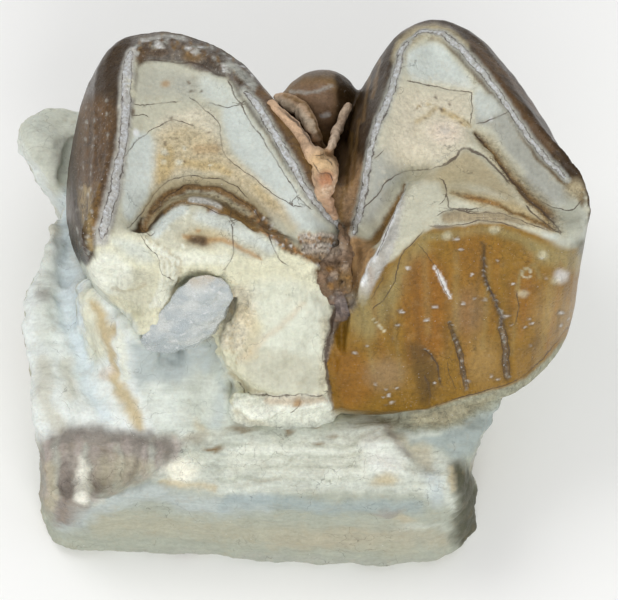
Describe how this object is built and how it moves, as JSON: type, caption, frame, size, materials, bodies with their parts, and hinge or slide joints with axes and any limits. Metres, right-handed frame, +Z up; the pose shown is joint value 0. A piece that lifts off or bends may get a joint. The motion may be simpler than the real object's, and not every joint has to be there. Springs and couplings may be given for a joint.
{
  "type": "fossil oreodont jaw section",
  "caption": "Short broken length of fossil jaw bone that carries a worn, crescent-cusped lower molar, with a flat broken underside to rest on.",
  "frame": {"origin": "middle of the footprint, on the flat broken underside of the bone", "axes": "+X along the jaw towards the lobe with the whole tongue-side enamel wall, +Y towards the cheek side, +Z up from the underside to the worn surface of the tooth"},
  "size_m": [0.0176, 0.014, 0.0126],
  "materials": {
    "tooth": "glossy honey to dark brown enamel, with satin grey, cream and ochre dentine on the worn and broken faces",
    "bone": "satin pale grey-green fossil bone, cream where it is broken, with rust and brown stains",
    "sediment": "matt crumbly orange-brown sediment",
    "silica": "glossy translucent blue-grey silica"
  },
  "bodies": {
    "root": {"molar": "tooth", "jaw_bone": "bone", "notch_matrix": "sediment", "valley_matrix": "sediment", "silica_fill": "silica"}
  },
  "joints": []
}
